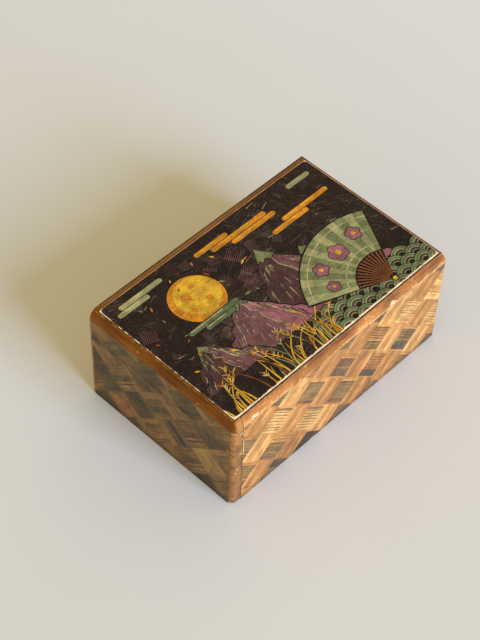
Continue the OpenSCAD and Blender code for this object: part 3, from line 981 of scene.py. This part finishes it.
# Picture sheet: a night landscape of hills, moon, cloud bars, sea scales and a folding fan
INKS = {
    "paper": (252, 226, 190), "worn_paper": (176, 128, 98), "ground": (38, 25, 18), "black": (24, 16, 14),
    "plum": (74, 46, 46), "mauve": (112, 72, 76), "pink": (150, 92, 102), "sage": (118, 124, 82),
    "green": (92, 106, 76), "pale_sage": (152, 150, 104), "amber": (200, 128, 30), "yellow": (212, 164, 48),
    "cream": (186, 164, 120), "smoke": (92, 74, 64), "rust": (130, 72, 34), "ochre": (190, 138, 84),
}
SHEET_LOW, SHEET_HIGH = (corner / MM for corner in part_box("lid_picture_sheet"))
SHEET_W, SHEET_H = SHEET_HIGH.x - SHEET_LOW.x, SHEET_HIGH.y - SHEET_LOW.y
rng = random.Random(41)
fine = random.Random(47)
print_cells = []


def ink(points, name, seed=None):
    """Prints an outline in mm from the sheet's corner, on all that is there."""
    outline = [(SHEET_LOW.x + x, SHEET_LOW.y + y) for x, y in points]
    seed = rng.uniform(0, 9) if seed is None else seed
    print_cells.append((outline, srgb(*INKS[name]), 0.0, seed))


def pick(names):
    return rng.choice(names.split())


def polar(cx, cy, r, a):
    """The point at the distance r and the angle a, in degrees, from a centre."""
    return cx + r * math.cos(math.radians(a)), cy + r * math.sin(math.radians(a))


def arc(cx, cy, r, a0, a1, n):
    return [polar(cx, cy, r, a) for a in spread(a0, a1, n)]


def disc(cx, cy, r, n=36):
    return arc(cx, cy, r, 0, 360 - 360 / n, n - 1)


def capsule(x0, x1, y, h):
    r = h / 2
    return arc(x1 - r, y, r, -90, 90, 8) + arc(x0 + r, y, r, 90, 270, 8)


def rounded(left, foot, right, top, r, n):
    centres = ((right - r, foot + r), (right - r, top - r), (left + r, top - r), (left + r, foot + r))
    return [p for i, (x, y) in enumerate(centres) for p in arc(x, y, r, 90 * i - 90, 90 * i, n)]


def stroke(points, w0, w1=None):
    """A brush line through points, w0 wide at its start and w1 at its end."""
    w1 = w0 if w1 is None else w1
    left, right = [], []
    for i, p in enumerate(points):
        a, b = Vector(points[max(0, i - 1)]), Vector(points[min(len(points) - 1, i + 1)])
        side = (b - a).normalized().orthogonal() * (w0 + (w1 - w0) * i / (len(points) - 1)) / 2
        left.append(tuple(Vector(p) + side))
        right.append(tuple(Vector(p) - side))
    return left + right[::-1]


def ragged(a, b, count, jag):
    a, b = Vector(a), Vector(b)
    side = (b - a).normalized().orthogonal()
    return [tuple(a.lerp(b, k / count) + side * rng.uniform(-jag, jag) * (0 < k < count))
            for k in range(count + 1)]


def paper_and_ground():
    """The paper with its worn margin, and the dark ground. Returns the number of the ground's cell."""
    w, h = SHEET_W, SHEET_H
    left, foot, right, top = 0.28, 0.68, w - 0.45, h - 0.36
    ink(rounded(0, 0, w, h, 0.6, 5), "paper")
    ink([(w - 0.6, 0.8), (w, 0), (w, h), (w - 0.6, h - 0.5)], "worn_paper")
    ink([(0.3, top - 0.05), (w - 0.5, top - 0.05), (w, h), (0, h)], "ochre")
    loss = random.Random(43)                               # the margin is worn and cut into
    for k in range(70):
        x, long, bite = loss.uniform(1, w - 3), loss.uniform(0.4, 2.4), loss.uniform(0.08, 0.32)
        ink([(x, foot + 0.05), (x + long, foot + 0.05), (x + long * 0.8, foot - bite),
             (x + long * 0.3, foot - bite * 0.8)], "ground", k * 0.4)
    for k in range(34):
        y, long = loss.uniform(0.8, h - 3), loss.uniform(0.5, 3.5)
        ink([(0, y), (left + 0.05, y + 0.2), (left + 0.05, y + long), (0, y + long + 0.2)],
            ("rust", "worn_paper", "smoke")[k % 3], k * 0.3)
    ink(rounded(left, foot, right, top, 1.7, 7), "ground")
    return len(print_cells) - 1


def night_sky():
    """Patches of hatching, and short strokes over them."""
    w, h = SHEET_W, SHEET_H
    for _ in range(80):
        x, y, long = rng.uniform(3, w - 12), rng.uniform(14, h - 8), rng.uniform(3, 8)
        lean = rng.uniform(-0.5, 1.2)
        shade = pick("smoke plum mauve black smoke")
        c, s = math.cos(lean), math.sin(lean)
        for i in range(rng.randint(4, 8)):
            x0, y0 = x - 0.8 * i * s, y + 0.8 * i * c
            part = long * rng.uniform(0.6, 1.0)
            ink(stroke([(x0, y0), (x0 + part * c, y0 + part * s)], 0.3, 0.1), shade)
    for _ in range(180):
        x, y, long = rng.uniform(2, w - 4), rng.uniform(12, h - 2), rng.uniform(1.2, 5.0)
        lean = rng.uniform(-0.25, 0.5)
        ink(stroke([(x, y), (x + long, y + lean * long)], 0.22, 0.08),
            pick("smoke smoke plum mauve black cream"))


def moon():
    ink(disc(31, 50, 12.2, 44), "black")
    ink(disc(31, 50, 11.7, 44), "amber")
    ink(disc(32.2, 51, 9.6, 40), "yellow")
    for cx, cy, size in ((28, 53, 2.2), (35, 47, 1.6), (33, 56, 1.1), (26, 46.5, 1.2)):
        ink(disc(cx, cy, size, 18), "amber")


def mountain(foot_x, peak_x, end_x, peak_y, shade, lit):
    """A peak with a lit side, ravines, fine hatching and a cap."""
    base = 13.0
    peak, height = (peak_x, peak_y), peak_y - base
    left, right = peak_x - foot_x, end_x - peak_x
    up = ragged((foot_x, base), peak, 12, 0.9)
    down = ragged(peak, (end_x, base), 12, 0.9)
    ink([(foot_x - 1.2, base)] + [(x - 0.35, y + 0.5) for x, y in up]
        + [(x + 0.4, y + 0.45) for x, y in down[1:]] + [(end_x + 1.2, base)], "black")
    ink(up + down[1:], shade)
    crest = ragged(peak, (peak_x + right * 0.25, base), 10, 1.5)
    ink(crest + down[:0:-1], lit)
    for _ in range(13):
        t = rng.uniform(0.12, 0.8)
        x, y = peak_x + right * t * 0.9, peak_y - height * t
        ink(stroke(ragged((x, y), (x + rng.uniform(1, 4), y - rng.uniform(4, 9)), 4, 0.3), 0.5, 0.12),
            pick("plum black cream sage"))
        x = peak_x - left * t * 0.85
        ink(stroke(ragged((x, y), (x - rng.uniform(1, 3), y - rng.uniform(3, 8)), 4, 0.3), 0.45, 0.1),
            pick("black smoke sage"))
    for k in range(44):                                    # hatching that runs down from the peak
        t, across = fine.uniform(0.22, 0.92), fine.uniform(-0.9, 0.9)
        reach = (right if across > 0 else left) * across * t
        x, y = peak_x + reach, peak_y - height * t
        run = fine.uniform(0.06, 0.16) / t
        tail = (x + reach * run, y - height * t * run)
        if tail[1] > base + 0.5:
            ink(stroke([(x, y), tail], 0.34, 0.1), ("pale_sage", "black", "cream", "smoke")[k % 4], k * 0.2)
    ink(stroke(crest, 0.55, 0.2), "pale_sage")
    cap_foot = peak_y - height * 0.17
    cap = [peak] + ragged((peak_x + right * 0.17, cap_foot), (peak_x - left * 0.17, cap_foot), 7, 1.5)
    ink(cap, "sage")
    ink(stroke(cap[1:], 0.35), "black")


def cloud(x, y, name, light, *bars):
    """Cloud bars, each given by its shift, length and rise, with a light line along each."""
    for shift, long, rise in bars:
        ink(capsule(x + shift - 0.35, x + shift + long + 0.35, y + rise, 2.9), "black")
        ink(capsule(x + shift, x + shift + long, y + rise, 2.3), name)
    for shift, long, rise in bars:
        ink(capsule(x + shift + 1.2, x + shift + long * 0.7, y + rise + 0.5, 0.5), light)


def sea():
    """Rows of ringed scales, each row over the one behind it."""
    size = 5.2
    rings = ((1.0, "black"), (0.93, "sage"), (0.84, "green"), (0.66, "pale_sage"), (0.58, "plum"),
             (0.40, "sage"), (0.30, "black"))
    for row in range(5):
        for k in range(-1, 13):
            x = (k + (row % 2) / 2) * size * 2
            y = 9.0 - row * size / 2 + 1.2 * math.sin(x * 0.09) * (row < 3)
            if x > 52:
                for share, name in rings:
                    ink(arc(x, y, size * share, 0, 180, 16 if share > 0.6 else 10), name)


def grass():
    for k in range(46):
        x, long, lean = rng.uniform(1, 62), rng.uniform(5, 19), rng.uniform(-0.5, 0.9)
        blade = [(x + lean * long * (i / 6) ** 1.8, 0.8 + long * (i / 6)) for i in range(7)]
        ink(stroke(blade, 1.3, 0.5), "black")
        ink(stroke(blade, 0.8, 0.15), pick("amber yellow yellow rust sage"))
        if k % 3:
            continue
        for i in range(7):                                 # the ear of every third blade
            tip = Vector(blade[-1]).lerp(Vector(blade[-3]), i / 6)
            side = rng.choice([-1, 1])
            end = tip + Vector((side * rng.uniform(0.8, 2.2) + lean, rng.uniform(0.8, 2.0)))
            ink(stroke([tuple(tip), tuple(end)], 0.5, 0.15), pick("yellow cream amber"))


def fan():
    """A folding fan, open from the angle start to the angle end, with blossoms on it."""
    cx, cy, reach, inner, start, end, folds = 93, 3.5, 37, 37 * 0.42, 62, 158, 14

    def bow(r, a0, a1, n=1):
        return arc(cx, cy, r, a0, a1, n)

    creases = spread(start, end, folds)
    ink([(cx, cy)] + bow(reach + 0.7, start - 1.6, end + 1.6, 40), "black")
    for k, (a, b) in enumerate(zip(creases, creases[1:])):
        ink(bow(reach, a, b, 4) + bow(inner, b, a, 3), "pale_sage" if k % 2 else "sage")
        mid = (a + b) / 2
        ink(bow(inner - 0.5, mid - 1.3, mid + 1.3) + bow(2.2, mid + 3, mid - 3), "rust")
    for share in (0.93, 0.52):
        ink(bow(reach * share, start, end, 40) + bow(reach * share - 0.5, end, start, 40), "cream")
    for a in creases[1:-1]:
        ink(bow(reach, a - 0.16, a + 0.16) + bow(inner, a + 0.3, a - 0.3), "green")
    ink(disc(cx, cy, 1.5, 20), "black")
    ink(disc(cx, cy, 1.0, 16), "yellow")
    for a, share, petal in ((78, 0.75, 2.3), (104, 0.68, 2.9), (128, 0.78, 2.2), (146, 0.66, 1.8)):
        x, y = polar(cx, cy, reach * share, a)
        for larger, name in ((0.35, "black"), (0.0, "pink")):
            for k in range(5):
                ink(disc(*polar(x, y, petal * 0.9, 72 * k + a), petal * 0.62 + larger, 14), name)
        ink(disc(x, y, petal * 0.42, 12), "yellow")


def drifting_leaves():
    for _ in range(26):
        x, y, long = rng.uniform(4, 60), rng.uniform(16, 66), rng.uniform(0.9, 1.9)
        a = rng.uniform(0, math.pi)
        dx, dy = math.cos(a) * long, math.sin(a) * long
        ink([(x - dx, y - dy), (x - dy * 0.35, y + dx * 0.35), (x + dx, y + dy),
             (x + dy * 0.35, y - dx * 0.35)], pick("amber rust yellow sage"))


window = paper_and_ground()
night_sky()
moon()
mountain(40, 64, 92, 52, "plum", "mauve")
mountain(14, 40, 62, 40, "mauve", "pink")
mountain(58, 78, 104, 41, "mauve", "pink")
mountain(0, 14, 34, 33, "plum", "mauve")
cloud(52, 63, "amber", "yellow", (0, 30, 0), (9, 24, -2.6), (-7, 18, 2.6))
cloud(84, 55, "amber", "yellow", (0, 26, 0), (-8, 20, -2.5))
cloud(3, 64, "pale_sage", "cream", (0, 16, 0), (3, 22, 2.6))
cloud(16, 39, "green", "cream", (0, 26, 0), (7, 15, -2.4))
cloud(98, 66, "pale_sage", "cream", (0, 13, 0))
sea()
grass()
fan()
drifting_leaves()
printed = inlay("lid_picture_sheet_printed", print_cells,
                lambda u, v, depth: (u, v, SHEET_LOW.z if depth else SHEET_HIGH.z), picture_material(),
                window=window)
keep(printed, "lid", "picture_sheet", "lid_picture_sheet")


# Inner pieces
def softened(node, body, slot, material, arris, depth=0.04, step=None, axis=0):
    """The solid of a node with softened, worn edges. step slices it along the axis."""
    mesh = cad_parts[node].data.copy()
    mesh.materials.clear()
    for layer in list(mesh.attributes):
        if not layer.is_required and not layer.is_internal:
            mesh.attributes.remove(layer)
    obj = add_object(node + "_worn", mesh, material)
    with editing(mesh) as bm:
        bmesh.ops.remove_doubles(bm, verts=bm.verts, dist=1e-6)
        bmesh.ops.dissolve_limit(bm, angle_limit=math.radians(1), verts=bm.verts, edges=bm.edges)
        if step:
            low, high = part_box(node)
            slice_up(bm, axis, low[axis] / MM, high[axis] / MM, step)
    soften(obj, arris)
    wear(obj, depth, 0.5, 7)
    smooth(obj)
    keep(obj, body, slot, node)


softened("lid_board", "lid", "plain_wood", lid_wood, 0.12, 0.05, 2.0, 0)
softened("near_inner_wall", "case", "plain_wood", plain_y, 0.15, 0.05, 2.0, 1)
softened("bottom_board", "case", "plain_wood", plain_x, 0.15, 0.04, 4.0, 0)
softened("base_veneer", "case", "pale_wood", pale_x, 0.08)
for rail in ("front_lid_rail", "back_lid_rail"):
    softened(rail, "case", "pale_wood", pale_x, 0.12, 0.04, 2.0, 0)
softened("lid_spline", "lid", "pale_wood", pale_x, 0.1)
for guides, body in (("upper_guides", "upper_end_panel"), ("lower_guides", "lower_end_panel")):
    softened(guides, body, "pale_wood", pale_z, 0.18, 0.05, 1.0, 2)
softened("key_studs", "upper_end_panel", "pale_wood", pale_z, 0.2, 0.05)


# Floor, world and lamp
FLOOR_GAP = 0.00003                      # metres between the box and the floor
FLOOR_SIZE = 4.0


def floor_material():
    g = Graph(bpy.data.materials.new("floor"))
    cloud = g.noise((0.004, 0.004, 0.004), 3, 0.5)
    grain = g.noise((0.9, 0.9, 0.9), 3, 0.6)
    colour = g.mix(g.ease(cloud, 0.35, 0.65), srgb(211, 210, 211), srgb(216, 215, 216))
    x, y, _ = g.position()
    # painted light: the floor is lighter and bluer towards the far end and the back
    colour = g.mix(g.ease(x + y * 0.25, 60, 320), colour, srgb(219, 221, 229))
    colour = g.shade(colour, g.ease(grain, 0.3, 0.7, 0.99, 1.01))
    return g.finish(colour, g.ease(grain, 0.3, 0.7, 0.62, 0.72), 0.2, grain, 0.05, 0.05)


def light_world():
    """A warm fill, with a pale background for what looks past the box or is reflected in it."""
    world = bpy.data.worlds.new("world")
    bpy.context.scene.world = world
    g = Graph(world)
    rays = (g.node("LightPath", {}, f"Is {ray} Ray") for ray in ("Camera", "Glossy", "Transmission"))
    share = g.most(*rays)
    fill = g.node("Background", {0: (0.72, 0.61, 0.32), 1: 1.0})
    pale = g.node("Background", {0: srgb(216, 214, 211), 1: 1.0})
    g.node("OutputWorld", {0: g.node("MixShader", {0: share, 1: fill, 2: pale})})


def soft_lamp(at, aim, size, power, colour):
    data = bpy.data.lights.new("key", "AREA")
    data.shape = "RECTANGLE"
    data.size, data.size_y = size
    data.energy = power
    data.color = colour
    lamp = add_object("key", data)
    lamp.location = at
    lamp.rotation_mode = "QUATERNION"
    lamp.rotation_quaternion = (Vector(aim) - Vector(at)).to_track_quat("-Z", "Y")


bm = bmesh.new()
bmesh.ops.create_grid(bm, x_segments=1, y_segments=1, size=FLOOR_SIZE)
floor = new_object("floor", bm, floor_material())
floor.location.z = -FLOOR_GAP
light_world()
soft_lamp((0, -4.77, 2.495), (0, 0, 0.02), (2.4, 2.4), 360, (0.55, 0.69, 1.0))
